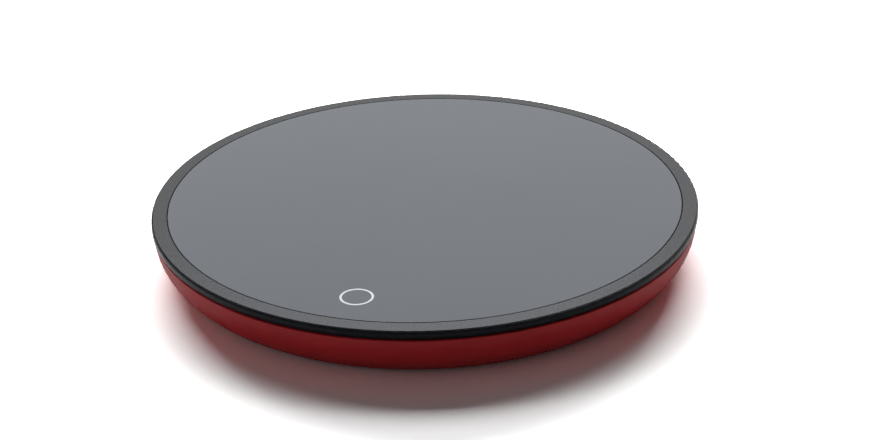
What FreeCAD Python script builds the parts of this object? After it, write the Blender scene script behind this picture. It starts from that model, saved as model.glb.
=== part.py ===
import FreeCAD, Part
import math
import os

# Slim touch-control mug warmer: a glass plate in a black bezel over a red dish.
# Units are millimetres. The origin is on the table at the centre of the disc,
# +Z is up, the touch key is at the front (-Y) and the USB-C inlet at the back (+Y).

V = FreeCAD.Vector

# Overall disc
overall_diameter = 120.0

# Stack of heights, from the table up to the glass top, 13 mm in all
foot_proud = 0.6
floor_thickness = 1.4
board_standoff = 1.4
board_thickness = 1.0
component_room = 3.2
clamp_thickness = 0.6
insulation_thickness = 1.2
track_thickness = 0.1
film_thickness = 0.2
spreader_thickness = 1.2
thermal_pad_thickness = 0.3
glass_thickness = 1.8

# Bezel and glass
bezel_top_width = 3.4
bezel_height = 1.62
bezel_drop = 0.15
bezel_edge_radius = 0.4
bezel_bore_chamfer = 0.06
glass_gap = 0.15
glass_chamfer = 0.1
bond_thickness = 0.2
bond_width = 2.6
bond_inset = 0.3
ledge_width = 3.6
ledge_thickness = 1.2
skirt_depth = 3.3
skirt_thickness = 1.3
skirt_clearance = 0.3
boss_wall = 1.55
arm_margin = 0.4

# Dish
shell_setback = 0.28
shell_wall = 1.4
side_radius = 11.2
shell_lip_chamfer = 0.2
seal_thickness = 0.58
seal_setback = 0.5
rib_height = 0.8
rib_thickness = 0.8
rib_count = 8
rib_hub_radius = 12.0
rib_rim_radius = 34.0

# Feet and the case screws that they cover
foot_count = 4
foot_first_angle = 45.0
foot_inset = 15.5
foot_radius = 6.5
foot_recess_depth = 0.8
foot_clearance = 0.1
foot_edge_chamfer = 0.3
pad_margin = 1.4
boss_split_height = 3.2
case_screw_radius = 1.0
case_head_radius = 1.9
case_head_height = 1.2
case_screw_grip = 4.0
screw_clearance = 0.2
pilot_clearance = 0.05

# Heater stack
heater_inset = 20.0
pan_wall = 0.8
pan_depth = 1.4
stack_clearance = 0.3
track_pitch = 6.4
track_width = 2.4
track_margin = 2.0
track_spacing = 1.2
track_inner_radius = 11.4
terminal_x = 3.7
terminal_y = -7.2
terminal_size = 2.8
window_width = 13.0
window_front = -13.0
window_back = 4.5
window_corner = 1.5
clamp_overhang = 1.5
clamp_hole_count = 6
clamp_hole_radius = 3.0
clamp_hole_inset = 8.5
clamp_ear_count = 3
clamp_ear_width = 6.4
clamp_screw_inset = 11.5
clamp_screw_radius = 0.8
clamp_head_radius = 1.5
clamp_head_height = 0.8
clamp_screw_grip = 2.0

# Touch key
touch_inset = 12.9
touch_ring_radius = 3.27
touch_line_width = 0.5
touch_line_depth = 0.1
guide_inner_radius = 2.75
guide_wall = 1.5
guide_foot_height = 0.9
guide_foot_width = 1.2
guide_top_gap = 0.1
spring_wire_radius = 0.25
spring_coil_radius = 1.9
spring_turns = 3
led_length = 1.6
led_width = 0.8
led_height = 0.6

# Control board at the front
board_inset = 7.5
lead_room = 11.0
board_width = 52.0
board_corner = 2.0
board_screw_x = 22.0
board_screw_back = 4.0
board_rest_x = 13.0
board_rest_front = 5.0
post_radius = 2.1
board_screw_radius = 0.75
board_screw_length = 2.2
board_head_radius = 1.5
board_head_height = 0.8
post_hole_floor = 0.5

# USB-C inlet at the back
inlet_board_thickness = 0.8
inlet_board_standoff = 0.6
inlet_board_width = 22.0
inlet_board_length = 17.0
inlet_board_corner = 1.0
inlet_screw_x = 8.2
inlet_screw_front = 5.0
mouth_inset = 3.6
mouth_recess = 0.1
receptacle_width = 8.94
receptacle_height = 3.26
receptacle_length = 7.35
receptacle_wall = 0.32
receptacle_corner = 1.28
receptacle_clearance = 0.14
tongue_width = 6.7
tongue_thickness = 0.7
tongue_length = 4.5
tongue_block_length = 1.6
tab_first = 0.5
tab_length = 0.9
tab_spacing = 1.7
plug_recess_width = 12.8
plug_recess_height = 6.7
plug_recess_corner = 1.6
recess_wall = 0.9
notch_clearance = 0.6
notch_roof = 0.5

# Parts on the control board; each one's set-back is counted from the board's back edge
chip_lift = 0.1
pin_thickness = 0.2
pin_width = 0.4
pin_knee = 0.5
pin_toe = 1.1
controller_x = -12.5
controller_setback = 13.5
controller_length = 10.0
controller_width = 4.0
controller_height = 1.5
controller_pins = 8
controller_pitch = 1.27
regulator_x = -2.0
regulator_setback = 9.5
regulator_length = 3.0
regulator_width = 1.7
regulator_height = 1.2
regulator_pins = 3
regulator_pitch = 0.95
switch_x = 12.5
switch_setback = 13.0
switch_length = 6.1
switch_width = 6.6
switch_height = 2.3
switch_tab_width = 5.4
switch_tab_reach = 1.2
switch_leg_x = 2.3
switch_leg_width = 0.8
switch_leg_reach = 2.0
switch_foot_height = 0.5
capacitor_x = 20.5
capacitor_setback = 11.0
capacitor_pitch = 5.0
capacitor_length = 2.0
capacitor_width = 1.25
capacitor_height = 1.2
resistor_x = 12.6
resistor_setback = 7.0
resistor_pitch = 2.6
resistor_length = 1.6
resistor_width = 0.8
resistor_height = 0.5

# Heater plug, the leads and the sensors under the heater
header_width = 11.0
header_length = 4.0
header_height = 2.6
header_wall = 0.7
header_setback = 2.5
plug_clearance = 0.25
plug_collar_overlap = 0.6
lead_pitch = 2.5
heater_lead_radius = 0.55
sensor_lead_radius = 0.35
power_lead_radius = 0.65
power_lead_pitch = 2.4
power_lead_overlap = 4.0
inlet_lead_x = 4.6
inlet_lead_exit = 6.0
board_lead_x = 17.6
board_lead_exit = 14.0
board_lead_drop = 0.3
fuse_radius = 1.1
fuse_length = 6.0
fuse_start = 3.0
strap_thickness = 0.3
strap_width = 3.0
strap_flange = 2.6
strap_gap = 0.05
lead_rise = 4.0
lead_riser = 1.6
bead_spacing = 0.84
bead_radius = 0.5
bead_length = 2.6
bead_y = 0.6

# Heights worked out from the stack
floor_z = foot_proud + floor_thickness
board_z = floor_z + board_standoff
board_top_z = board_z + board_thickness
clamp_z = board_top_z + component_room
insulation_z = clamp_z + clamp_thickness
track_z = insulation_z + insulation_thickness
film_z = track_z + track_thickness
spreader_z = film_z + film_thickness
thermal_pad_z = spreader_z + spreader_thickness
glass_z = thermal_pad_z + thermal_pad_thickness
glass_top_z = glass_z + glass_thickness
bezel_top_z = glass_top_z - bezel_drop
flange_z = bezel_top_z - bezel_height
shell_rim_z = flange_z - seal_thickness
ledge_top_z = glass_z - bond_thickness
ledge_z = ledge_top_z - ledge_thickness
skirt_z = ledge_top_z - skirt_depth
boss_split_z = floor_z + boss_split_height
inlet_board_z = floor_z + inlet_board_standoff
inlet_board_top_z = inlet_board_z + inlet_board_thickness
inlet_z = inlet_board_top_z + receptacle_height / 2

# Radii worked out from the rim
rim_radius = overall_diameter / 2
bezel_bore = rim_radius - bezel_top_width
glass_radius = bezel_bore - glass_gap
ledge_radius = bezel_bore - ledge_width
shell_top_radius = rim_radius - shell_setback
side_centre_radius = shell_top_radius - side_radius
heater_radius = rim_radius - heater_inset
clamp_radius = heater_radius + clamp_overhang
clamp_hole_circle = clamp_radius - clamp_hole_inset
clamp_screw_circle = rim_radius - clamp_screw_inset
foot_circle = rim_radius - foot_inset
touch_y = touch_inset - rim_radius
board_radius = rim_radius - board_inset
board_front_y = -board_radius
board_back_y = window_front - lead_room
mouth_y = rim_radius - mouth_inset
inlet_board_back_y = mouth_y - recess_wall - stack_clearance
inlet_board_front_y = inlet_board_back_y - inlet_board_length
plug_y = board_back_y
plug_axis_z = board_top_z + header_height / 2
header_back_y = plug_y - header_setback
fuse_z = clamp_z - strap_gap - fuse_radius


def wall_radius(z, inset):
    """Radius of the dish's curved side at a height, a little way in from its outside."""
    drop = shell_rim_z - z
    return side_centre_radius + math.sqrt((side_radius - inset) ** 2 - drop ** 2)


skirt_radius = wall_radius(skirt_z, shell_wall) - skirt_clearance


def cylinder(radius, z, height, x=0.0, y=0.0):
    return Part.makeCylinder(radius, height, V(x, y, z))


def tube(outer, inner, z, height, x=0.0, y=0.0):
    return cylinder(outer, z, height, x, y).cut(cylinder(inner, z, height, x, y))


def block(x0, x1, y0, y1, z0, z1):
    return Part.makeBox(x1 - x0, y1 - y0, z1 - z0, V(x0, y0, z0))


def polar(radius, angle):
    """Point at a radius and an angle in degrees, counted from +X."""
    return V(radius * math.cos(math.radians(angle)), radius * math.sin(math.radians(angle)), 0)


def ring_angles(count, first):
    return [first + index * 360.0 / count for index in range(count)]


def turned(shape, angle):
    """Copy of a shape turned about the disc's axis."""
    copy = shape.copy()
    copy.rotate(V(0, 0, 0), V(0, 0, 1), angle)
    return copy


def rounded_outline(width, height, corner):
    """Closed wire in the XY plane, centred on the origin, with round corners."""
    half_w = width / 2
    half_h = height / 2
    edges = []
    for quarter in range(4):
        along = half_w - corner if quarter % 2 == 0 else half_h - corner
        side = half_h if quarter % 2 == 0 else half_w
        turn = 90.0 * quarter
        start = V(-along, -side, 0)
        end = V(along, -side, 0)
        middle = V(along + corner * math.sin(math.pi / 4), -side + corner * (1 - math.cos(math.pi / 4)), 0)
        finish = V(along + corner, -side + corner, 0)
        line = Part.LineSegment(start, end).toShape()
        arc = Part.Arc(end, middle, finish).toShape()
        edges.append(turned(line, turn))
        edges.append(turned(arc, turn))
    return Part.Wire(edges)


def flat_plate(width, depth, corner, x, y, z, height):
    """Plate with round corners that lies flat, centred on x and y."""
    plate = Part.Face(rounded_outline(width, depth, corner)).extrude(V(0, 0, height))
    plate.translate(V(x, y, z))
    return plate


def inlet_prism(width, height, corner, y0, y1):
    """Prism with round corners that runs along Y, centred on the inlet's axis."""
    prism = Part.Face(rounded_outline(width, height, corner)).extrude(V(0, 0, y1 - y0))
    prism.rotate(V(0, 0, 0), V(1, 0, 0), -90)
    prism.translate(V(0, y0, inlet_z))
    return prism


def sector_arm(angle, half_width, outer, z, height):
    """Straight arm from the disc's axis outward, at an angle."""
    return turned(block(0, outer, -half_width, half_width, z, z + height), angle)


def screw(x, y, head_z, up, head_radius, head_height, shaft_radius, shaft_length):
    """Pan-head screw whose shaft points up or down from the outside of its head."""
    direction = 1 if up else -1
    head = cylinder(head_radius, 0, head_height)
    rim = [edge for edge in head.Edges if edge.Vertexes[0].Z < head_height / 2 and len(edge.Vertexes) == 1]
    head = head.makeChamfer(head_height * 0.3, rim)
    shaft = cylinder(shaft_radius, head_height, shaft_length)
    body = head.fuse(shaft).removeSplitter()
    if direction < 0:
        body.rotate(V(0, 0, 0), V(1, 0, 0), 180)
    body.translate(V(x, y, head_z))
    return body


def round_route(points):
    """Wire of straight runs joined by tangent arcs, each as large as its runs allow."""
    edges = []
    radii = []
    last = points[0]
    for index in range(1, len(points) - 1):
        corner = points[index]
        back = points[index - 1].sub(corner)
        ahead = points[index + 1].sub(corner)
        leg = 0.45 * min(back.Length, ahead.Length)
        back.normalize()
        ahead.normalize()
        half_turn = (math.pi - back.getAngle(ahead)) / 2
        radius = leg / math.tan(half_turn)
        start = corner.add(back.multiply(leg))
        end = corner.add(ahead.multiply(leg))
        chord_middle = start.add(end).multiply(0.5)
        toward = corner.sub(chord_middle)
        toward.normalize()
        middle = chord_middle.add(toward.multiply(radius * (1 - math.cos(half_turn))))
        edges.append(Part.LineSegment(last, start).toShape())
        edges.append(Part.Arc(start, middle, end).toShape())
        radii.append(radius)
        last = end
    edges.append(Part.LineSegment(last, points[-1]).toShape())
    return Part.Wire(edges), radii


def swept_tube(path, radius):
    start = path.Edges[0].firstVertex().Point
    direction = path.Edges[0].tangentAt(path.Edges[0].FirstParameter)
    section = Part.Wire([Part.makeCircle(radius, start, direction)])
    return path.makePipeShell([section], True, False)


def lead(points, radius):
    path, radii = round_route([V(*point) for point in points])
    print("lead radii", [round(value, 1) for value in radii], "length", round(path.Length, 1))
    return swept_tube(path, radius)


def helix_point(coil_radius, pitch, turn):
    angle = 2 * math.pi * turn
    return V(coil_radius * math.cos(angle), coil_radius * math.sin(angle), pitch * turn)


def helix_tangent(coil_radius, pitch, turn):
    angle = 2 * math.pi * turn
    rise = pitch / (2 * math.pi)
    tangent = V(-coil_radius * math.sin(angle), coil_radius * math.cos(angle), rise)
    tangent.normalize()
    return tangent


def arc_from_corner(start, corner, end):
    """Arc that leaves start towards corner and arrives at end away from it."""
    chord_middle = start.add(end).multiply(0.5)
    toward = corner.sub(chord_middle)
    leg = corner.sub(start).Length
    half_turn = math.asin(min(1.0, toward.Length / leg))
    toward.normalize()
    bow = leg * math.cos(half_turn) * math.tan(half_turn / 2)
    return Part.Arc(start, chord_middle.add(toward.multiply(bow)), end).toShape()


def biarc(start, start_tangent, end, end_tangent):
    """Two arcs that join two points and keep both tangents."""
    span = end.sub(start)
    tangents = start_tangent.add(end_tangent)
    spread = 2 * (1 - start_tangent.dot(end_tangent))
    along = span.dot(tangents)
    leg = (-along + math.sqrt(along ** 2 + spread * span.dot(span))) / spread
    first = start.add(V(start_tangent).multiply(leg))
    second = end.sub(V(end_tangent).multiply(leg))
    joint = first.add(second).multiply(0.5)
    return [arc_from_corner(start, first, joint), arc_from_corner(joint, second, end)]


def glass_panel():
    glass = cylinder(glass_radius, glass_z, glass_thickness)
    rim = [e for e in glass.Edges if len(e.Vertexes) == 1 and e.BoundBox.ZMin > glass_z + glass_chamfer]
    glass = glass.makeChamfer(glass_chamfer, rim)
    return glass.cut(touch_ring_mark())


def touch_ring_mark():
    outer = touch_ring_radius + touch_line_width / 2
    inner = touch_ring_radius - touch_line_width / 2
    return tube(outer, inner, glass_top_z - touch_line_depth, touch_line_depth, 0, touch_y)


def glass_bond_ring():
    outer = glass_radius - bond_inset
    return tube(outer, outer - bond_width, ledge_top_z, bond_thickness)


def bezel_profile():
    """Half section of the bezel, flange, ledge and skirt, with its top edge rounded."""
    skirt_inner = skirt_radius - skirt_thickness
    edge_middle = bezel_edge_radius * (1 - math.cos(math.pi / 4))
    chamfer = bezel_bore_chamfer
    arc_start = V(rim_radius, 0, bezel_top_z - bezel_edge_radius)
    arc_middle = V(rim_radius - edge_middle, 0, bezel_top_z - edge_middle)
    arc_end = V(rim_radius - bezel_edge_radius, 0, bezel_top_z)
    corners = [
        arc_end,
        V(bezel_bore + chamfer, 0, bezel_top_z),
        V(bezel_bore, 0, bezel_top_z - chamfer),
        V(bezel_bore, 0, ledge_top_z),
        V(ledge_radius, 0, ledge_top_z),
        V(ledge_radius, 0, ledge_z),
        V(skirt_inner, 0, ledge_z),
        V(skirt_inner, 0, skirt_z),
        V(skirt_radius, 0, skirt_z),
        V(skirt_radius, 0, flange_z),
        V(rim_radius, 0, flange_z),
        arc_start,
    ]
    edges = [Part.LineSegment(corners[i], corners[i + 1]).toShape() for i in range(len(corners) - 1)]
    edges.append(Part.Arc(arc_start, arc_middle, arc_end).toShape())
    return Part.Face(Part.Wire(edges))


def bezel_boss(angle, circle, shaft_radius, bottom_z, grip):
    """Screw boss hung from the ledge on an arm, and the pilot hole cut in it."""
    centre = polar(circle, angle)
    radius = shaft_radius + boss_wall
    boss = cylinder(radius, bottom_z, ledge_top_z - bottom_z, centre.x, centre.y)
    reach = ledge_radius + arm_margin
    half_width = radius - arm_margin
    arm = turned(block(circle, reach, -half_width, half_width, ledge_z, ledge_top_z), angle)
    pilot = cylinder(shaft_radius + pilot_clearance, bottom_z, grip + pilot_clearance, centre.x, centre.y)
    return boss.fuse(arm), pilot


def bezel_ring():
    ring = bezel_profile().revolve(V(0, 0, 0), V(0, 0, 1), 360)
    bosses = []
    pilots = []
    for angle in ring_angles(foot_count, foot_first_angle):
        boss, pilot = bezel_boss(angle, foot_circle, case_screw_radius, boss_split_z, case_screw_grip)
        bosses.append(boss)
        pilots.append(pilot)
    for angle in ring_angles(clamp_ear_count, 0):
        boss, pilot = bezel_boss(angle, clamp_screw_circle, clamp_screw_radius, insulation_z,
                                 clamp_screw_grip)
        bosses.append(boss)
        pilots.append(pilot)
    half_width = plug_recess_width / 2 + recess_wall + notch_clearance
    notch = block(-half_width, half_width, heater_radius, rim_radius, skirt_z, ledge_top_z - notch_roof)
    return ring.fuse(bosses).cut(pilots + [notch]).removeSplitter()


def solid_bowl(inset, bottom_z):
    """Dish without a hollow, a little way in from the outside; its side is one arc, upright at the rim."""
    radius = side_radius - inset
    half_swing = math.asin((shell_rim_z - bottom_z) / radius) / 2
    side_start = V(wall_radius(bottom_z, inset), 0, bottom_z)
    side_middle = V(side_centre_radius + radius * math.cos(half_swing), 0,
                    shell_rim_z - radius * math.sin(half_swing))
    side_end = V(side_centre_radius + radius, 0, shell_rim_z)
    axis_bottom = V(0, 0, bottom_z)
    axis_top = V(0, 0, shell_rim_z)
    bottom = Part.LineSegment(axis_bottom, side_start).toShape()
    side = Part.Arc(side_start, side_middle, side_end).toShape()
    top = Part.LineSegment(side_end, axis_top).toShape()
    axis = Part.LineSegment(axis_top, axis_bottom).toShape()
    return Part.Face(Part.Wire([bottom, side, top, axis])).revolve(V(0, 0, 0), V(0, 0, 1), 360)


def board_posts():
    """Places of the posts under the two boards: x, y, top height, screwed or not."""
    screw_y = board_back_y - board_screw_back
    rest_y = board_front_y + board_rest_front
    inlet_y = inlet_board_front_y + inlet_screw_front
    posts = []
    for side in (-1, 1):
        posts.append((side * board_screw_x, screw_y, board_z, True))
        posts.append((side * board_rest_x, rest_y, board_z, False))
        posts.append((side * inlet_screw_x, inlet_y, inlet_board_z, True))
    return posts


def shell_ribs():
    ribs = [tube(rib_hub_radius, rib_hub_radius - rib_thickness, floor_z, rib_height)]
    ribs.append(tube(rib_rim_radius, rib_rim_radius - rib_thickness, floor_z, rib_height))
    spoke = sector_arm(0, rib_thickness / 2, rib_rim_radius, floor_z, rib_height)
    spoke = spoke.cut(cylinder(rib_hub_radius - rib_thickness, floor_z, rib_height))
    for angle in ring_angles(rib_count, 180.0 / rib_count):
        ribs.append(turned(spoke, angle))
    return ribs


def base_shell():
    outer = solid_bowl(0, foot_proud)
    lip = [e for e in outer.Edges if e.BoundBox.ZMin > shell_rim_z - 0.01 and e.BoundBox.XLength > rim_radius]
    outer = outer.makeChamfer(shell_lip_chamfer, lip)
    inner = solid_bowl(shell_wall, floor_z)
    recess_width = plug_recess_width + 2 * recess_wall
    recess_height = plug_recess_height + 2 * recess_wall
    recess_corner = plug_recess_corner + recess_wall
    hood = inlet_prism(recess_width, recess_height, recess_corner, mouth_y - recess_wall, rim_radius)
    hood = hood.common(outer)
    grown = shell_ribs() + [hood]
    cuts = [inlet_prism(plug_recess_width, plug_recess_height, plug_recess_corner, mouth_y, rim_radius)]
    slot_width = receptacle_width + 2 * receptacle_clearance
    slot_height = receptacle_height + 2 * receptacle_clearance
    slot_corner = receptacle_corner + receptacle_clearance
    cuts.append(inlet_prism(slot_width, slot_height, slot_corner, receptacle_back_y(), rim_radius))
    recess_top_z = foot_proud + foot_recess_depth
    head_top_z = recess_top_z + case_head_height
    boss_radius = case_screw_radius + boss_wall
    hole_radius = case_screw_radius + screw_clearance
    head_hole_radius = case_head_radius + screw_clearance
    head_boss_radius = head_hole_radius + boss_wall
    head_boss_height = head_top_z - floor_z + boss_wall
    for angle in ring_angles(foot_count, foot_first_angle):
        centre = polar(foot_circle, angle)
        pad_radius = foot_radius + pad_margin
        grown.append(cylinder(pad_radius, floor_z, foot_recess_depth, centre.x, centre.y))
        grown.append(cylinder(head_boss_radius, floor_z, head_boss_height, centre.x, centre.y))
        grown.append(cylinder(boss_radius, floor_z, boss_split_z - floor_z, centre.x, centre.y))
        cuts.append(cylinder(foot_radius + foot_clearance, foot_proud, foot_recess_depth, centre.x, centre.y))
        cuts.append(cylinder(head_hole_radius, recess_top_z, case_head_height, centre.x, centre.y))
        cuts.append(cylinder(hole_radius, head_top_z, boss_split_z - head_top_z, centre.x, centre.y))
    for x, y, top_z, screwed in board_posts():
        grown.append(cylinder(post_radius, floor_z, top_z - floor_z, x, y))
        if screwed:
            hole_z = foot_proud + post_hole_floor
            cuts.append(cylinder(board_screw_radius + pilot_clearance, hole_z, top_z - hole_z, x, y))
    return outer.cut(inner).fuse(grown).cut(cuts).removeSplitter()


def bezel_seal():
    inner = shell_top_radius - shell_wall
    outer = shell_top_radius - seal_setback
    return tube(outer, inner, shell_rim_z, seal_thickness)


def foot_pads():
    pads = []
    for angle in ring_angles(foot_count, foot_first_angle):
        centre = polar(foot_circle, angle)
        pad = cylinder(foot_radius, 0, foot_proud + foot_recess_depth, centre.x, centre.y)
        rim = [e for e in pad.Edges if len(e.Vertexes) == 1 and e.BoundBox.ZMax < foot_edge_chamfer]
        pads.append(pad.makeChamfer(foot_edge_chamfer, rim))
    return pads


def case_screws():
    head_z = foot_proud + foot_recess_depth
    reach = boss_split_z + case_screw_grip - head_z - case_head_height
    screws = []
    for angle in ring_angles(foot_count, foot_first_angle):
        centre = polar(foot_circle, angle)
        screws.append(screw(centre.x, centre.y, head_z, True, case_head_radius, case_head_height,
                            case_screw_radius, reach))
    return screws


def thermal_pad():
    return cylinder(heater_radius, thermal_pad_z, thermal_pad_thickness)


def heat_spreader():
    plate = cylinder(heater_radius, spreader_z, spreader_thickness)
    wall = tube(heater_radius, heater_radius - pan_wall, spreader_z - pan_depth, pan_depth)
    pan = plate.fuse(wall).removeSplitter()
    rim = [e for e in pan.Edges if abs(e.BoundBox.ZMin - thermal_pad_z) < 0.01 and len(e.Vertexes) == 1]
    return pan.makeChamfer(pan_wall / 2, rim)


def heater_film():
    return cylinder(heater_radius - pan_wall - stack_clearance, film_z, film_thickness)


def heater_track():
    """Etched serpentine: open rings joined in turn at the two sides of one radial gap."""
    half = track_width / 2
    gap = half + track_spacing
    outer_ring = heater_radius - pan_wall - track_margin
    ring_pairs = int((outer_ring - track_inner_radius) / (2 * track_pitch))
    radii = [outer_ring - index * track_pitch for index in range(2 * ring_pairs + 1)]
    rings = [tube(radius + half, radius - half, track_z, track_thickness) for radius in radii]
    slot = block(-gap, gap, -heater_radius, 0, track_z, film_z)
    pieces = [ring.cut(slot) for ring in rings]
    for index in range(2 * ring_pairs):
        side = 1 if index % 2 == 0 else -1
        span = sorted((side * gap, side * (gap + track_width)))
        strip = block(span[0], span[1], -heater_radius, 0, track_z, film_z)
        band = tube(radii[index], radii[index + 1], track_z, track_thickness)
        pieces.append(strip.common(band))
    disc = cylinder(outer_ring + half, track_z, track_thickness)
    hook = rings[0].common(block(-gap, half, -heater_radius, 0, track_z, film_z))
    pad_low = terminal_y - terminal_size / 2
    feed = block(-half, half, -heater_radius, pad_low + track_width, track_z, film_z)
    pieces.append(hook)
    pieces.append(feed.common(disc))
    pad_high = terminal_y + terminal_size / 2
    pad_left = terminal_x + terminal_size / 2
    pad_right = terminal_x - terminal_size / 2
    pieces.append(block(-pad_left, -pad_right, pad_low, pad_high, track_z, film_z))
    pieces.append(block(-pad_right, half, pad_low, pad_low + track_width, track_z, film_z))
    pieces.append(block(pad_right, pad_left, pad_low, pad_high, track_z, film_z))
    link = block(gap, gap + track_width, -radii[-1], pad_high, track_z, film_z)
    pieces.append(link)
    return pieces[0].fuse(pieces[1:]).removeSplitter()


def stack_window(z, height):
    """Window for the terminals and the sensor, through the layers under the heater."""
    depth = window_back - window_front
    return flat_plate(window_width, depth, window_corner, 0, (window_back + window_front) / 2, z, height)


def insulation_pad():
    pad = cylinder(heater_radius - pan_wall - stack_clearance, insulation_z, insulation_thickness)
    return pad.cut(stack_window(insulation_z, insulation_thickness))


def clamp_plate():
    plate = cylinder(clamp_radius, clamp_z, clamp_thickness)
    holes = [stack_window(clamp_z, clamp_thickness)]
    for angle in ring_angles(clamp_ear_count, 0):
        centre = polar(clamp_screw_circle, angle)
        ear = sector_arm(angle, clamp_ear_width / 2, clamp_screw_circle, clamp_z, clamp_thickness)
        tip = cylinder(clamp_ear_width / 2, clamp_z, clamp_thickness, centre.x, centre.y)
        plate = plate.fuse([ear, tip])
        hole_radius = clamp_screw_radius + screw_clearance
        holes.append(cylinder(hole_radius, clamp_z, clamp_thickness, centre.x, centre.y))
    for angle in ring_angles(clamp_hole_count, 180.0 / clamp_hole_count):
        centre = polar(clamp_hole_circle, angle)
        holes.append(cylinder(clamp_hole_radius, clamp_z, clamp_thickness, centre.x, centre.y))
    return plate.cut(holes).removeSplitter()


def clamp_screws():
    screws = []
    head_z = clamp_z - clamp_head_height
    for angle in ring_angles(clamp_ear_count, 0):
        centre = polar(clamp_screw_circle, angle)
        reach = clamp_thickness + clamp_screw_grip
        screws.append(screw(centre.x, centre.y, head_z, True, clamp_head_radius, clamp_head_height,
                            clamp_screw_radius, reach))
    return screws


def thermistor_bead():
    z = film_z - bead_radius
    bead = Part.makeCylinder(bead_radius, bead_length, V(0, bead_y, z), V(0, 1, 0))
    rims = [edge for edge in bead.Edges if len(edge.Vertexes) == 1]
    return bead.makeChamfer(bead_radius * 0.4, rims)


def fuse_axis():
    """Start of the thermal fuse: under the clamp plate, in line with one heater lead."""
    return V(1.5 * lead_pitch, plug_y + fuse_start, fuse_z)


def thermal_fuse():
    start = fuse_axis()
    body = Part.makeCylinder(fuse_radius, fuse_length, start, V(0, 1, 0))
    rims = [edge for edge in body.Edges if len(edge.Vertexes) == 1]
    return body.makeChamfer(fuse_radius * 0.3, rims)


def fuse_clip():
    """Steel strap that holds the fuse up against the clamp plate."""
    start = fuse_axis()
    inner = fuse_radius + strap_gap
    outer = inner + strap_thickness
    y = start.y + (fuse_length - strap_width) / 2
    wrap = Part.makeCylinder(outer, strap_width, V(start.x, y, start.z), V(0, 1, 0))
    wrap = wrap.cut(block(start.x - outer, start.x + outer, y, y + strap_width, start.z, start.z + outer))
    wrap = wrap.fuse(block(start.x - outer, start.x + outer, y, y + strap_width, start.z, clamp_z))
    reach = outer + strap_flange
    flange = block(start.x - reach, start.x + reach, y, y + strap_width, clamp_z - strap_thickness, clamp_z)
    hollow = Part.makeCylinder(inner, strap_width, V(start.x, y, start.z), V(0, 1, 0))
    hollow = hollow.fuse(block(start.x - inner, start.x + inner, y, y + strap_width, start.z, clamp_z))
    return wrap.fuse(flange).cut(hollow).removeSplitter()


def heater_leads():
    """One lead straight to its terminal; the other in two parts, on each side of the fuse."""
    x = 1.5 * lead_pitch
    rise_y = terminal_y - lead_rise
    whole = [
        (-x, plug_y, plug_axis_z),
        (-x, rise_y, plug_axis_z),
        (-terminal_x, terminal_y, plug_axis_z + lead_riser),
        (-terminal_x, terminal_y, track_z),
    ]
    fuse_y = plug_y + fuse_start
    front = [
        (x, plug_y, plug_axis_z),
        (x, plug_y + fuse_start * 0.3, plug_axis_z),
        (x, plug_y + fuse_start * 0.7, fuse_z),
        (x, fuse_y, fuse_z),
    ]
    back = [
        (x, fuse_y + fuse_length, fuse_z),
        (x, rise_y, fuse_z),
        (terminal_x, terminal_y, fuse_z + lead_riser),
        (terminal_x, terminal_y, track_z),
    ]
    return [lead(route, heater_lead_radius) for route in (whole, front, back)]


def thermistor_leads():
    leads = []
    bead_z = film_z - bead_radius
    for side in (-1, 1):
        x = side * lead_pitch / 2
        route = [
            (x, plug_y, plug_axis_z),
            (x, window_front, plug_axis_z),
            (side * bead_spacing / 2, bead_y - bead_length, bead_z),
            (side * bead_spacing / 2, bead_y, bead_z),
        ]
        leads.append(lead(route, sensor_lead_radius))
    return leads


def power_leads():
    """Two insulated wires from the inlet board, off to the left, to the control board."""
    start_z = inlet_board_top_z + power_lead_radius
    end_z = board_top_z + power_lead_radius
    leads = []
    for index in range(2):
        shift = index * power_lead_pitch
        route = [
            (shift - inlet_lead_x, inlet_board_front_y + power_lead_overlap, start_z),
            (shift - inlet_lead_x, inlet_board_front_y - inlet_lead_exit, start_z),
            (shift - board_lead_x, board_back_y + board_lead_exit, end_z + board_lead_drop),
            (shift - board_lead_x, board_back_y - power_lead_overlap, end_z),
        ]
        leads.append(lead(route, power_lead_radius))
    return leads


def touch_spring():
    """Wound contact spring between the control board and the underside of the glass."""
    free_height = glass_z - board_top_z - 2 * spring_wire_radius
    pitch = free_height / spring_turns
    edges = []
    for half in range(2 * spring_turns):
        now = half / 2
        after = (half + 1) / 2
        edges += biarc(
            helix_point(spring_coil_radius, pitch, now),
            helix_tangent(spring_coil_radius, pitch, now),
            helix_point(spring_coil_radius, pitch, after),
            helix_tangent(spring_coil_radius, pitch, after),
        )
    coil = swept_tube(Part.Wire(edges), spring_wire_radius)
    nearest = pitch
    samples = 24
    for step in range(samples * spring_turns):
        for other in range(step + samples // 2, samples * spring_turns + 1):
            here = helix_point(spring_coil_radius, pitch, step / samples)
            there = helix_point(spring_coil_radius, pitch, other / samples)
            nearest = min(nearest, here.sub(there).Length)
    print("touch spring gap to itself", round(nearest - 2 * spring_wire_radius, 2))
    coil.translate(V(0, touch_y, board_top_z + spring_wire_radius))
    return coil


def light_guide():
    """White collar round the spring that carries the light up to the ring mark."""
    bottom = board_top_z + guide_foot_height
    top = glass_z - guide_top_gap
    outer = guide_inner_radius + guide_wall
    collar = tube(outer, guide_inner_radius, bottom, top - bottom, 0, touch_y)
    middle = guide_inner_radius + guide_wall / 2
    feet = []
    for angle in ring_angles(3, 30):
        centre = polar(middle, angle)
        foot_y = centre.y + touch_y
        feet.append(cylinder(guide_foot_width / 2, board_top_z, guide_foot_height, centre.x, foot_y))
    return collar.fuse(feet).removeSplitter()


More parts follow.
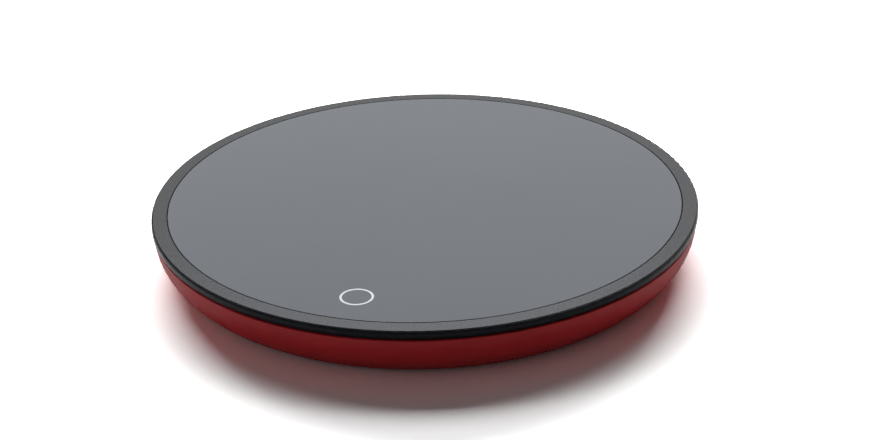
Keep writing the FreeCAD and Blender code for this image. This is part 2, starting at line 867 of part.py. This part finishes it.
def status_leds():
    leds = []
    middle = guide_inner_radius + guide_wall / 2
    for angle in ring_angles(3, 90):
        centre = polar(middle, angle)
        led = block(-led_width / 2, led_width / 2, -led_length / 2, led_length / 2, 0, led_height)
        led.rotate(V(0, 0, 0), V(0, 0, 1), angle)
        led.translate(V(centre.x, centre.y + touch_y, board_top_z))
        leds.append(led)
    return leds


def control_board():
    disc = cylinder(board_radius, board_z, board_thickness)
    area = block(-board_width / 2, board_width / 2, board_front_y, board_back_y, board_z, board_top_z)
    board = disc.common(area)
    corners = []
    for edge in board.Edges:
        box = edge.BoundBox
        upright = box.ZLength > board_thickness / 2 and box.XLength < 0.01 and box.YLength < 0.01
        if upright:
            corners.append(edge)
    board = board.makeFillet(board_corner, corners)
    holes = []
    for x, y, top_z, screwed in board_posts():
        if screwed and y < 0:
            holes.append(cylinder(board_screw_radius + screw_clearance, board_z, board_thickness, x, y))
    return board.cut(holes)


def board_screws():
    screws = []
    for x, y, top_z, screwed in board_posts():
        if screwed:
            board_top = top_z + (board_thickness if y < 0 else inlet_board_thickness)
            screws.append(screw(x, y, board_top + board_head_height, False, board_head_radius,
                                board_head_height, board_screw_radius, board_screw_length))
    return screws


def board_block(x, y, length, width, low, high):
    """Block over the control board, centred on x and y, from one height above it to another."""
    return block(x - width / 2, x + width / 2, y - length / 2, y + length / 2,
                 board_top_z + low, board_top_z + high)


def gull_wing_chip(x, y, length, width, height, pins, pitch):
    """Chip body with a row of bent pins on each long side."""
    body = board_block(x, y, length, width, chip_lift, height)
    parts = []
    root_z = height / 2
    for row in range(pins):
        pin_y = y + (row - (pins - 1) / 2) * pitch
        for side in (-1, 1):
            root_x = x + side * width / 2
            shoulder = board_block(root_x + side * pin_knee / 2, pin_y, pin_width, pin_knee,
                                   root_z, root_z + pin_thickness)
            shank_x = root_x + side * (pin_knee - pin_thickness / 2)
            shank = board_block(shank_x, pin_y, pin_width, pin_thickness, 0, root_z + pin_thickness)
            toe_length = pin_toe - pin_knee + pin_thickness
            toe_x = root_x + side * (pin_toe - toe_length / 2)
            toe = board_block(toe_x, pin_y, pin_width, toe_length, 0, pin_thickness)
            parts += [shoulder, shank, toe]
    return body.fuse(parts).removeSplitter()


def microcontroller():
    return gull_wing_chip(controller_x, board_back_y - controller_setback, controller_length,
                          controller_width, controller_height, controller_pins, controller_pitch)


def voltage_regulator():
    return gull_wing_chip(regulator_x, board_back_y - regulator_setback, regulator_length,
                          regulator_width, regulator_height, regulator_pins, regulator_pitch)


def power_mosfet():
    """Flat power switch with a solder tab on one end and two legs on the other."""
    y = board_back_y - switch_setback
    body = board_block(switch_x, y, switch_length, switch_width, chip_lift, switch_height)
    half_length = switch_length / 2
    tab = board_block(switch_x, y + (half_length + switch_tab_reach) / 2, half_length + switch_tab_reach,
                      switch_tab_width, 0, switch_foot_height)
    legs = []
    for side in (-1, 1):
        legs.append(board_block(switch_x + side * switch_leg_x, y - half_length, 2 * switch_leg_reach,
                                switch_leg_width, 0, switch_foot_height))
    return body.fuse([tab] + legs).removeSplitter()


def chip_capacitors():
    capacitors = []
    for side in (-1, 1):
        for row in range(2):
            y = board_back_y - capacitor_setback - row * capacitor_pitch
            capacitors.append(board_block(side * capacitor_x, y, capacitor_width, capacitor_length,
                                          0, capacitor_height))
    return capacitors


def chip_resistors():
    resistors = []
    y = board_back_y - resistor_setback
    for side in (-1, 1):
        for column in range(3):
            x = side * resistor_x + (column - 1) * resistor_pitch
            resistors.append(board_block(x, y, resistor_width, resistor_length, 0, resistor_height))
    return resistors


def heater_header():
    """Low socket on the board that the heater's plug goes into."""
    middle_y = header_back_y - header_length / 2
    body = board_block(0, middle_y, header_length, header_width, 0, header_height)
    cavity = board_block(0, middle_y + header_wall, header_length, header_width - 2 * header_wall,
                         header_wall, header_height - header_wall / 2)
    return body.cut(cavity)


def heater_plug():
    """Plug housing on the heater and sensor leads, pushed into the socket."""
    nose_front = header_back_y - header_length + header_wall + plug_clearance
    nose_width = header_width - 2 * header_wall - 2 * plug_clearance
    low = header_wall + plug_clearance / 2
    high = header_height - header_wall / 2 - plug_clearance / 2
    nose = board_block(0, (nose_front + plug_y) / 2, plug_y - nose_front, nose_width, low, high)
    collar_front = header_back_y + plug_clearance
    collar = board_block(0, (collar_front + plug_y) / 2, plug_y - collar_front,
                         nose_width + 2 * plug_collar_overlap, header_wall, header_height)
    return nose.fuse(collar).removeSplitter()


def inlet_board():
    middle_y = (inlet_board_front_y + inlet_board_back_y) / 2
    board = flat_plate(inlet_board_width, inlet_board_length, inlet_board_corner, 0, middle_y,
                       inlet_board_z, inlet_board_thickness)
    board = board.common(cylinder(wall_radius(inlet_board_z, shell_wall) - stack_clearance, inlet_board_z,
                                  inlet_board_thickness))
    holes = []
    for x, y, top_z, screwed in board_posts():
        if screwed and y > 0:
            holes.append(cylinder(board_screw_radius + screw_clearance, inlet_board_z,
                                  inlet_board_thickness, x, y))
    for tab in receptacle_tabs(receptacle_clearance):
        holes.append(tab)
    return board.cut(holes)


def receptacle_back_y():
    return mouth_y - mouth_recess - receptacle_length


def receptacle_tabs(margin):
    """Four tabs of the receptacle's shell that pass through slots in the board."""
    half = receptacle_width / 2
    tabs = []
    first_y = receptacle_back_y() + tab_first
    for start_y in (first_y, first_y + tab_spacing):
        for side in (-1, 1):
            span = sorted((side * half, side * (half - receptacle_wall)))
            tabs.append(block(span[0] - margin, span[1] + margin, start_y - margin,
                              start_y + tab_length + margin, inlet_board_z, inlet_z))
    return tabs


def usb_receptacle_shell():
    """Stamped metal shell with its corner radius and closed back."""
    back = receptacle_back_y()
    front = mouth_y - mouth_recess
    shell = inlet_prism(receptacle_width, receptacle_height, receptacle_corner, back, front)
    inner_width = receptacle_width - 2 * receptacle_wall
    inner_height = receptacle_height - 2 * receptacle_wall
    inner_corner = receptacle_corner - receptacle_wall
    hollow = inlet_prism(inner_width, inner_height, inner_corner, back + receptacle_wall, front)
    return shell.fuse(receptacle_tabs(0)).cut(hollow).removeSplitter()


def usb_tongue():
    """Insulating block at the back of the receptacle, with the tongue that the plug slides over."""
    start = receptacle_back_y() + receptacle_wall
    inner_width = receptacle_width - 2 * receptacle_wall
    inner_height = receptacle_height - 2 * receptacle_wall
    inner_corner = receptacle_corner - receptacle_wall
    block_end = start + tongue_block_length
    base = inlet_prism(inner_width, inner_height, inner_corner, start, block_end)
    corner = tongue_thickness * 0.3
    tongue = inlet_prism(tongue_width, tongue_thickness, corner, start, block_end + tongue_length)
    return base.fuse(tongue).removeSplitter()


nodes = {
    "glass_panel": glass_panel,
    "touch_ring_mark": touch_ring_mark,
    "glass_bond_ring": glass_bond_ring,
    "bezel_ring": bezel_ring,
    "bezel_seal": bezel_seal,
    "base_shell": base_shell,
    "foot_pads": foot_pads,
    "case_screws": case_screws,
    "thermal_pad": thermal_pad,
    "heat_spreader": heat_spreader,
    "heater_film": heater_film,
    "heater_track": heater_track,
    "insulation_pad": insulation_pad,
    "clamp_plate": clamp_plate,
    "clamp_screws": clamp_screws,
    "thermistor_bead": thermistor_bead,
    "thermal_fuse": thermal_fuse,
    "fuse_clip": fuse_clip,
    "heater_leads": heater_leads,
    "thermistor_leads": thermistor_leads,
    "power_leads": power_leads,
    "touch_spring": touch_spring,
    "light_guide": light_guide,
    "status_leds": status_leds,
    "control_board": control_board,
    "board_screws": board_screws,
    "microcontroller": microcontroller,
    "voltage_regulator": voltage_regulator,
    "power_mosfet": power_mosfet,
    "chip_capacitors": chip_capacitors,
    "chip_resistors": chip_resistors,
    "heater_header": heater_header,
    "heater_plug": heater_plug,
    "inlet_board": inlet_board,
    "usb_receptacle_shell": usb_receptacle_shell,
    "usb_tongue": usb_tongue,
}

os.makedirs("parts", exist_ok=True)
for name, make in nodes.items():
    made = make()
    shape = Part.makeCompound(made) if isinstance(made, list) else made
    shape.exportStep("parts/" + name + ".step")
    print(name, "solids", len(shape.Solids), "volume", round(shape.Volume, 1), "valid", shape.isValid())
print("overall height", round(glass_top_z, 3))
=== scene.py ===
import math

import bmesh
import bpy
from mathutils import Euler, Matrix, Vector


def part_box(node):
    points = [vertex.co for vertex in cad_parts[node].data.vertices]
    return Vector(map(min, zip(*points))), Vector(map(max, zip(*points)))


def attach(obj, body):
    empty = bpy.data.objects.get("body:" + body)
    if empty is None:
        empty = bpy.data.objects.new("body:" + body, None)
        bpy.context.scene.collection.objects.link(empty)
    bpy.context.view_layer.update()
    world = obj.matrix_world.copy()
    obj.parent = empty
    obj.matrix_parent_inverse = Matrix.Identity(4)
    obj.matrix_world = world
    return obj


# Looks for a slim touch-control mug warmer: grey glass in a black bezel over a red dish.
# Units are metres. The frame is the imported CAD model's: table at Z 0, touch key towards -Y.

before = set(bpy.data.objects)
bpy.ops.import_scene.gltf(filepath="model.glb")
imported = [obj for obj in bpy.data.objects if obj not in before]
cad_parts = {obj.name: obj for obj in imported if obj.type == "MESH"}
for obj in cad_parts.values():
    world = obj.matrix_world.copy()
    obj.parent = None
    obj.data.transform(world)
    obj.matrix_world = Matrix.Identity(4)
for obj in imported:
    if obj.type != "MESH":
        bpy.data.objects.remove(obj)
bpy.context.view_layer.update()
scene = bpy.context.scene

# Camera, fitted to the photograph's rim, glass line and touch ring
CAMERA_PLACE = Vector((0.1299, -0.4075, 0.2175))
CAMERA_AZIMUTH = 17.33
CAMERA_DROP = 26.133
CAMERA_ROLL = 1.676
CAMERA_LENS = 88.56

# Studio: a wide softbox and a lower strip behind the object, a weak fill at its front left,
# and a pale surround that glows on gloss behind the object only.
# A lamp's level is what it alone makes of a white table; azimuths are counted from the view.
LAMP_DISTANCE = 1.5
KEY_AZIMUTH = 1.5
KEY_ELEVATION = 49.0
KEY_SPAN = (56.0, 22.0)
KEY_LEVEL = 0.4
LOW_AZIMUTH = 2.5
LOW_ELEVATION = 30.0
LOW_SPAN = (60.0, 8.0)
LOW_LEVEL = 0.58
FILL_AZIMUTH = 130.0
FILL_ELEVATION = 22.0
FILL_SPAN = (70.0, 24.0)
FILL_LEVEL = 0.013
AMBIENT = 0.032
GLOW_AZIMUTH = -4.0
GLOW_ELEVATION = 32.0
GLOW_RANGE = (0.8, 0.975)
GLOW_LEVELS = (0.02, 1.02)
FLOOR_SIZE = 8.0
FLOOR_SHOWN = 2.4
FLOOR_BOUNCE = 0.85

# How far the shading rounds the bezel's corners
BEVEL_RADIUS = 0.0017
BEVEL_SAMPLES = 6


def material(name):
    """New node material, with its tree and its Principled shader."""
    made = bpy.data.materials.new(name)
    made.use_nodes = True
    tree = made.node_tree
    return made, tree, tree.nodes["Principled BSDF"]


def object_noise(tree, size, detail=2.0, stretch=(1, 1, 1)):
    """Noise on object coordinates whose features are about `size` metres across."""
    coordinates = tree.nodes.new("ShaderNodeTexCoord")
    mapping = tree.nodes.new("ShaderNodeMapping")
    mapping.inputs["Scale"].default_value = stretch
    noise = tree.nodes.new("ShaderNodeTexNoise")
    noise.inputs["Scale"].default_value = 1 / size
    noise.inputs["Detail"].default_value = detail
    tree.links.new(coordinates.outputs["Object"], mapping.inputs["Vector"])
    tree.links.new(mapping.outputs["Vector"], noise.inputs["Vector"])
    return noise.outputs["Fac"]


def spread(tree, source, low, high, start=0.3, end=0.7):
    """Maps start and end, by default the usual range of a noise, to low and high."""
    node = tree.nodes.new("ShaderNodeMapRange")
    node.inputs["From Min"].default_value = start
    node.inputs["From Max"].default_value = end
    node.inputs["To Min"].default_value = low
    node.inputs["To Max"].default_value = high
    tree.links.new(source, node.inputs["Value"])
    return node.outputs["Result"]


def blend_colours(tree, factor, first, second):
    """The first colour where `factor` is 0, the second where it is 1."""
    node = tree.nodes.new("ShaderNodeMix")
    node.data_type = "RGBA"
    tree.links.new(factor, node.inputs["Factor"])
    node.inputs["A"].default_value = (*first, 1)
    node.inputs["B"].default_value = (*second, 1)
    return node.outputs["Result"]


def relief(tree, shader, height, depth):
    """Bumps of a given depth in metres, where `height` goes from 0 to 1."""
    bump = tree.nodes.new("ShaderNodeBump")
    bump.inputs["Distance"].default_value = depth
    tree.links.new(height, bump.inputs["Height"])
    tree.links.new(bump.outputs["Normal"], shader.inputs["Normal"])


def surface(name, dark, light, patch, grain, roughness, depth, metallic=0.0, stretch=(1, 1, 1),
            sockets=None):
    """Principled material with mottled colour, and roughness and relief from a finer grain.

    The mottle is `patch` metres across, the grain `grain` metres and the relief `depth` metres high.
    `sockets` holds the values that the shader's other inputs get.
    """
    made, tree, shader = material(name)
    mottle = spread(tree, object_noise(tree, patch, detail=3.0), low=0, high=1)
    tree.links.new(blend_colours(tree, mottle, dark, light), shader.inputs["Base Color"])
    fine = object_noise(tree, grain, stretch=stretch)
    tree.links.new(spread(tree, fine, *roughness), shader.inputs["Roughness"])
    relief(tree, shader, fine, depth)
    shader.inputs["Metallic"].default_value = metallic
    for input_name, value in (sockets or {}).items():
        shader.inputs[input_name].default_value = value
    return made


def grey_glass():
    """Tempered glass printed grey on its back, with the faint haze of handling."""
    return surface("grey_glass", dark=(0.121, 0.135, 0.158), light=(0.127, 0.141, 0.164), patch=0.03,
                   grain=0.008, roughness=(0.06, 0.11), depth=0.0000004, sockets={"IOR": 1.5})


def white_enamel():
    return surface("white_enamel", dark=(0.83, 0.86, 0.895), light=(0.88, 0.91, 0.93), patch=0.001,
                   grain=0.0002, roughness=(0.35, 0.5), depth=0.000004)


def black_plastic(roughness, gloss):
    """Moulded black plastic with a fine spark-eroded grain and a faintly blue gloss."""
    return surface("black_plastic", dark=(0.0115, 0.0122, 0.014), light=(0.0155, 0.0165, 0.0188),
                   patch=0.004, grain=0.00028, roughness=roughness, depth=0.000013,
                   sockets={"Specular IOR Level": gloss, "Specular Tint": (0.87, 0.9, 1.0, 1)})


def crown_plastic():
    """Black plastic of the bezel's top."""
    return black_plastic(roughness=(0.24, 0.34), gloss=0.42)


def bezel_plastic():
    """Black plastic of the bezel's side, its corners shaded rounder than they are drawn."""
    made = black_plastic(roughness=(0.14, 0.2), gloss=0.24)
    tree = made.node_tree
    rounded = tree.nodes.new("ShaderNodeBevel")
    rounded.samples = BEVEL_SAMPLES
    rounded.inputs["Radius"].default_value = BEVEL_RADIUS
    bump = next(node for node in tree.nodes if node.type == "BUMP")
    tree.links.new(rounded.outputs["Normal"], bump.inputs["Normal"])
    return made


def red_shell():
    """Satin red lacquer over the moulded dish."""
    return surface("red_shell", dark=(0.54, 0.025, 0.030), light=(0.60, 0.030, 0.036), patch=0.012,
                   grain=0.0004, roughness=(0.34, 0.42), depth=0.000006,
                   sockets={"Specular IOR Level": 0.3})


def black_rubber():
    """Matt black seal, darkened past its own colour to paint the shade of the gap under the bezel as a
    black line.
    """
    # Near-black base and low gloss: painted shade of the gap between bezel and dish.
    return surface("black_rubber", dark=(0.006, 0.006, 0.006), light=(0.010, 0.010, 0.010), patch=0.002,
                   grain=0.0002, roughness=(0.6, 0.75), depth=0.000008,
                   sockets={"Specular IOR Level": 0.08})


def foot_silicone():
    return surface("foot_silicone", dark=(0.035, 0.035, 0.036), light=(0.052, 0.052, 0.054),
                   patch=0.003, grain=0.00025, roughness=(0.55, 0.7), depth=0.000012)


def bond_tape():
    return surface("bond_tape", dark=(0.03, 0.03, 0.03), light=(0.05, 0.05, 0.05), patch=0.001,
                   grain=0.0001, roughness=(0.6, 0.8), depth=0.00001)


def zinc_steel():
    return surface("zinc_steel", dark=(0.52, 0.53, 0.55), light=(0.64, 0.65, 0.66), patch=0.001,
                   grain=0.00015, roughness=(0.28, 0.42), depth=0.000003, metallic=1.0)


def spring_steel():
    return surface("spring_steel", dark=(0.56, 0.56, 0.58), light=(0.66, 0.66, 0.68), patch=0.0008,
                   grain=0.0001, roughness=(0.2, 0.32), depth=0.000002, metallic=1.0)


def receptacle_steel():
    """Rolled steel, with faint lines round the shell."""
    return surface("receptacle_steel", dark=(0.56, 0.56, 0.57), light=(0.68, 0.68, 0.69),
                   patch=0.0012, grain=0.00012, roughness=(0.22, 0.36), depth=0.000002, metallic=1.0,
                   stretch=(1, 8, 1))


def pressed_aluminium():
    """Rolled sheet, with its grain along X."""
    return surface("pressed_aluminium", dark=(0.70, 0.71, 0.73), light=(0.80, 0.81, 0.82),
                   patch=0.006, grain=0.0004, roughness=(0.3, 0.45), depth=0.000006, metallic=1.0,
                   stretch=(1, 12, 1))


def etched_alloy():
    return surface("etched_alloy", dark=(0.44, 0.41, 0.37), light=(0.55, 0.52, 0.48), patch=0.002,
                   grain=0.0003, roughness=(0.35, 0.5), depth=0.000004, metallic=1.0)


def fuse_case():
    return surface("fuse_case", dark=(0.62, 0.60, 0.55), light=(0.74, 0.72, 0.66), patch=0.001,
                   grain=0.0002, roughness=(0.25, 0.38), depth=0.000003, metallic=1.0)


def thermal_gel():
    return surface("thermal_gel", dark=(0.48, 0.54, 0.60), light=(0.56, 0.61, 0.66), patch=0.003,
                   grain=0.0003, roughness=(0.5, 0.65), depth=0.00001)


def amber_film():
    return surface("amber_film", dark=(0.52, 0.24, 0.03), light=(0.66, 0.33, 0.05), patch=0.006,
                   grain=0.0008, roughness=(0.18, 0.3), depth=0.000004, sockets={"Coat Weight": 0.4})


def fibre_felt():
    """Felt whose fibres lie mostly along X."""
    return surface("fibre_felt", dark=(0.70, 0.69, 0.65), light=(0.86, 0.85, 0.81), patch=0.0012,
                   grain=0.0002, roughness=(0.85, 0.98), depth=0.00008, stretch=(1, 5, 1))


def epoxy_bead():
    return surface("epoxy_bead", dark=(0.02, 0.02, 0.026), light=(0.035, 0.035, 0.045), patch=0.0008,
                   grain=0.0003, roughness=(0.15, 0.25), depth=0.000005)


def wire(name, dark, light):
    """Silicone insulation, with extrusion lines along Y, the way the leads run."""
    return surface(name, dark, light, patch=0.002, grain=0.0002, roughness=(0.42, 0.55),
                   depth=0.000006, stretch=(6, 1, 6))


def red_wire():
    return wire("red_wire", dark=(0.50, 0.03, 0.025), light=(0.58, 0.045, 0.035))


def white_wire():
    return wire("white_wire", dark=(0.74, 0.74, 0.71), light=(0.82, 0.82, 0.80))


def opal_plastic():
    return surface("opal_plastic", dark=(0.80, 0.82, 0.83), light=(0.87, 0.88, 0.89), patch=0.003,
                   grain=0.0004, roughness=(0.28, 0.4), depth=0.000004,
                   sockets={"Subsurface Weight": 0.3, "Subsurface Scale": 0.001})


def led_resin():
    return surface("led_resin", dark=(0.86, 0.80, 0.45), light=(0.93, 0.90, 0.66), patch=0.0006,
                   grain=0.0002, roughness=(0.12, 0.22), depth=0.000003, sockets={"Coat Weight": 0.5})


def board_laminate():
    """Green solder mask with the glass weave under it."""
    dark = (0.012, 0.12, 0.045)
    light = (0.02, 0.17, 0.065)
    patch = 0.004
    threads = 600
    waviness = 1.5
    roughness = (0.28, 0.4)
    depth = 0.000006
    coat = 0.3
    made, tree, shader = material("board_laminate")
    mottle = spread(tree, object_noise(tree, patch), low=0, high=1)
    tree.links.new(blend_colours(tree, mottle, dark, light), shader.inputs["Base Color"])
    coordinates = tree.nodes.new("ShaderNodeTexCoord")
    weave = tree.nodes.new("ShaderNodeTexWave")
    weave.inputs["Scale"].default_value = threads
    weave.inputs["Distortion"].default_value = waviness
    tree.links.new(coordinates.outputs["Object"], weave.inputs["Vector"])
    height = weave.outputs["Fac"]
    tree.links.new(spread(tree, height, *roughness, start=0, end=1), shader.inputs["Roughness"])
    relief(tree, shader, height, depth)
    shader.inputs["Coat Weight"].default_value = coat
    return made


def chip_resin():
    return surface("chip_resin", dark=(0.03, 0.03, 0.034), light=(0.045, 0.045, 0.05), patch=0.0015,
                   grain=0.00012, roughness=(0.5, 0.65), depth=0.000008)


def capacitor_ceramic():
    return surface("capacitor_ceramic", dark=(0.42, 0.31, 0.19), light=(0.54, 0.42, 0.28),
                   patch=0.0008, grain=0.0001, roughness=(0.3, 0.45), depth=0.000004)


def connector_nylon():
    return surface("connector_nylon", dark=(0.74, 0.72, 0.63), light=(0.82, 0.80, 0.72),
                   patch=0.003, grain=0.0003, roughness=(0.4, 0.52), depth=0.000006)


def tongue_resin():
    return surface("tongue_resin", dark=(0.02, 0.02, 0.022), light=(0.032, 0.032, 0.035),
                   patch=0.001, grain=0.0001, roughness=(0.4, 0.52), depth=0.000005)


def contact_gold():
    return surface("contact_gold", dark=(0.86, 0.60, 0.24), light=(0.93, 0.69, 0.33), patch=0.0006,
                   grain=0.0001, roughness=(0.18, 0.3), depth=0.000002, metallic=1.0)


# Which material each CAD node carries
FINISHES = {
    grey_glass: ["glass_panel"],
    white_enamel: ["touch_ring_mark"],
    bond_tape: ["glass_bond_ring"],
    bezel_plastic: ["bezel_ring"],
    black_rubber: ["bezel_seal"],
    red_shell: ["base_shell"],
    foot_silicone: ["foot_pads"],
    zinc_steel: ["case_screws", "clamp_plate", "clamp_screws", "fuse_clip", "board_screws"],
    thermal_gel: ["thermal_pad"],
    pressed_aluminium: ["heat_spreader"],
    amber_film: ["heater_film"],
    etched_alloy: ["heater_track"],
    fibre_felt: ["insulation_pad"],
    epoxy_bead: ["thermistor_bead"],
    fuse_case: ["thermal_fuse"],
    white_wire: ["heater_leads", "thermistor_leads"],
    red_wire: ["power_leads"],
    spring_steel: ["touch_spring"],
    opal_plastic: ["light_guide"],
    led_resin: ["status_leds"],
    board_laminate: ["control_board", "inlet_board"],
    chip_resin: ["microcontroller", "voltage_regulator", "power_mosfet", "chip_resistors"],
    capacitor_ceramic: ["chip_capacitors"],
    connector_nylon: ["heater_header", "heater_plug"],
    receptacle_steel: ["usb_receptacle_shell"],
    tongue_resin: ["usb_tongue"],
}


def dress_nodes():
    """Gives each CAD node its material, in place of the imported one."""
    for make_finish, nodes in FINISHES.items():
        finish = make_finish()
        for node in nodes:
            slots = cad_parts[node].data.materials
            slots.clear()
            slots.append(finish)


def piece(name, mesh_maker, finish):
    """Object made by a function that fills a bmesh; it rides on the one body."""
    mesh = bpy.data.meshes.new(name)
    work = bmesh.new()
    mesh_maker(work)
    work.to_mesh(mesh)
    work.free()
    made = bpy.data.objects.new(name, mesh)
    scene.collection.objects.link(made)
    mesh.materials.append(finish)
    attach(made, "root")
    return made


def add_bar(work, centre, size, edge):
    """Box with bevelled edges."""
    placed = Matrix.Translation(centre) @ Matrix.Diagonal((*size, 1))
    corners = bmesh.ops.create_cube(work, size=1, matrix=placed)["verts"]
    edges = list({e for v in corners for e in v.link_edges})
    bmesh.ops.bevel(work, geom=edges, offset=edge, segments=2, affect="EDGES", profile=0.5)


def tongue_contacts():
    """Two rows of gold contacts, let into the two faces of the inlet's tongue."""
    low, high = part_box("usb_tongue")
    middle_z = (low.z + high.z) / 2
    count = 12
    pitch = 0.0005
    length = 0.0034
    width = 0.00028
    half_tongue = 0.00035
    proud = 0.00002
    thickness = 0.0001
    corner = 0.00003
    setback = 0.0005
    start = high.y - setback

    def fill(work):
        for side in (-1, 1):
            z = middle_z + side * (half_tongue + proud - thickness / 2)
            for index in range(count):
                x = (index - (count - 1) / 2) * pitch
                centre = Vector((x, start - length / 2, z))
                add_bar(work, centre, (width, length, thickness), corner)

    return piece("tongue_contacts", fill, contact_gold())


def bezel_crown():
    """Fall of the bezel's top from the glass's height at the bore to its own height outside."""
    glass_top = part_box("glass_panel")[1]
    bezel_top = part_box("bezel_ring")[1]
    gap = 0.00015
    corner = 0.0004
    sinking = 0.00005
    chamfer_drop = 0.00003
    chamfer_width = 0.00004
    edge_height = 0.00001
    steps = 256
    bore = glass_top.x + gap
    rim = bezel_top.x - corner
    sunk = bezel_top.z - sinking
    section = [(bore, sunk), (bore, glass_top.z - chamfer_drop), (bore + chamfer_width, glass_top.z),
               (rim, bezel_top.z + edge_height), (rim, sunk)]

    def fill(work):
        rings = []
        for step in range(steps):
            turn = 2 * math.pi * step / steps
            rings.append([work.verts.new((r * math.cos(turn), r * math.sin(turn), z)) for r, z in section])
        for here, after in zip(rings, rings[1:] + rings[:1]):
            for index in range(len(section)):
                beside = (index + 1) % len(section)
                face = work.faces.new((here[index], after[index], after[beside], here[beside]))
                face.smooth = True
                work.edges.get((here[index], after[index])).smooth = False
        bmesh.ops.recalc_face_normals(work, faces=work.faces)

    return piece("bezel_crown", fill, crown_plastic())


def add_camera():
    camera = bpy.data.objects.new("camera", bpy.data.cameras.new("camera"))
    camera.data.lens = CAMERA_LENS
    turn = Euler((math.radians(90 - CAMERA_DROP), 0, math.radians(CAMERA_AZIMUTH))).to_matrix()
    roll = Matrix.Rotation(-math.radians(CAMERA_ROLL), 3, "Z")
    camera.matrix_world = Matrix.Translation(CAMERA_PLACE) @ (turn @ roll).to_4x4()
    scene.collection.objects.link(camera)
    scene.camera = camera


def direction(azimuth, elevation):
    """Unit vector from the object; azimuth 0 is straight behind it, seen by the camera."""
    around = math.radians(CAMERA_AZIMUTH + azimuth)
    up = math.radians(elevation)
    return Vector((-math.sin(around) * math.cos(up), math.cos(around) * math.cos(up), math.sin(up)))


def add_softbox(name, azimuth, elevation, span, level, glossy=True):
    """Rectangular lamp that faces the object and spans two angles, wide and high.

    One that gloss doesn't show is sampled directly only, which leaves no sparkles on the glass.
    """
    lamp = bpy.data.lights.new(name, "AREA")
    lamp.shape = "RECTANGLE"
    lamp.size = 2 * LAMP_DISTANCE * math.tan(math.radians(span[0] / 2))
    lamp.size_y = 2 * LAMP_DISTANCE * math.tan(math.radians(span[1] / 2))
    lamp.cycles.use_multiple_importance_sampling = glossy
    lamp.energy = level * (math.pi * LAMP_DISTANCE) ** 2 / math.sin(math.radians(elevation))
    toward = direction(azimuth, elevation)
    holder = bpy.data.objects.new(name, lamp)
    holder.location = toward * LAMP_DISTANCE
    holder.rotation_mode = "QUATERNION"
    holder.rotation_quaternion = toward.to_track_quat("Z", "Y")
    holder.visible_camera = False
    holder.visible_glossy = glossy
    scene.collection.objects.link(holder)


def add_surround():
    """White to the eye; on gloss it glows behind the object, and as light it is weak."""
    world = bpy.data.worlds.new("studio")
    world.use_nodes = True
    tree = world.node_tree
    path = tree.nodes.new("ShaderNodeLightPath")
    coordinates = tree.nodes.new("ShaderNodeTexCoord")
    toward = tree.nodes.new("ShaderNodeVectorMath")
    toward.operation = "DOT_PRODUCT"
    toward.inputs[1].default_value = direction(GLOW_AZIMUTH, GLOW_ELEVATION)
    tree.links.new(coordinates.outputs["Generated"], toward.inputs[0])
    glow = spread(tree, toward.outputs["Value"], *GLOW_LEVELS, *GLOW_RANGE)
    gloss = tree.nodes.new("ShaderNodeMix")
    gloss.inputs["A"].default_value = AMBIENT
    tree.links.new(path.outputs["Is Glossy Ray"], gloss.inputs["Factor"])
    tree.links.new(glow, gloss.inputs["B"])
    seen = tree.nodes.new("ShaderNodeMath")
    seen.operation = "MAXIMUM"
    tree.links.new(path.outputs["Is Camera Ray"], seen.inputs[0])
    tree.links.new(path.outputs["Is Transmission Ray"], seen.inputs[1])
    level = tree.nodes.new("ShaderNodeMix")
    level.inputs["B"].default_value = 1
    tree.links.new(seen.outputs["Value"], level.inputs["Factor"])
    tree.links.new(gloss.outputs["Result"], level.inputs["A"])
    background = tree.nodes["Background"]
    background.inputs["Color"].default_value = (1, 1, 1, 1)
    tree.links.new(level.outputs["Result"], background.inputs["Strength"])
    scene.world = world


def add_floor():
    """Plain white table; the camera sees it brighter than it bounces, so that it reads as white."""
    mesh = bpy.data.meshes.new("floor")
    work = bmesh.new()
    bmesh.ops.create_grid(work, x_segments=1, y_segments=1, size=FLOOR_SIZE / 2)
    work.to_mesh(mesh)
    work.free()
    floor = bpy.data.objects.new("floor", mesh)
    scene.collection.objects.link(floor)
    made, tree, shader = material("floor")
    tree.nodes.remove(shader)
    path = tree.nodes.new("ShaderNodeLightPath")
    diffuse = tree.nodes.new("ShaderNodeBsdfDiffuse")
    seen = path.outputs["Is Camera Ray"]
    shade = spread(tree, seen, FLOOR_BOUNCE, FLOOR_SHOWN, start=0, end=1)
    tree.links.new(shade, diffuse.inputs["Color"])
    tree.links.new(diffuse.outputs["BSDF"], tree.nodes["Material Output"].inputs["Surface"])
    mesh.materials.append(made)


dress_nodes()
tongue_contacts()
bezel_crown()
add_camera()
add_softbox("key", KEY_AZIMUTH, KEY_ELEVATION, KEY_SPAN, KEY_LEVEL)
add_softbox("low", LOW_AZIMUTH, LOW_ELEVATION, LOW_SPAN, LOW_LEVEL, glossy=False)
add_softbox("fill", FILL_AZIMUTH, FILL_ELEVATION, FILL_SPAN, FILL_LEVEL, glossy=False)
add_surround()
add_floor()
scene.view_settings.view_transform = "Standard"
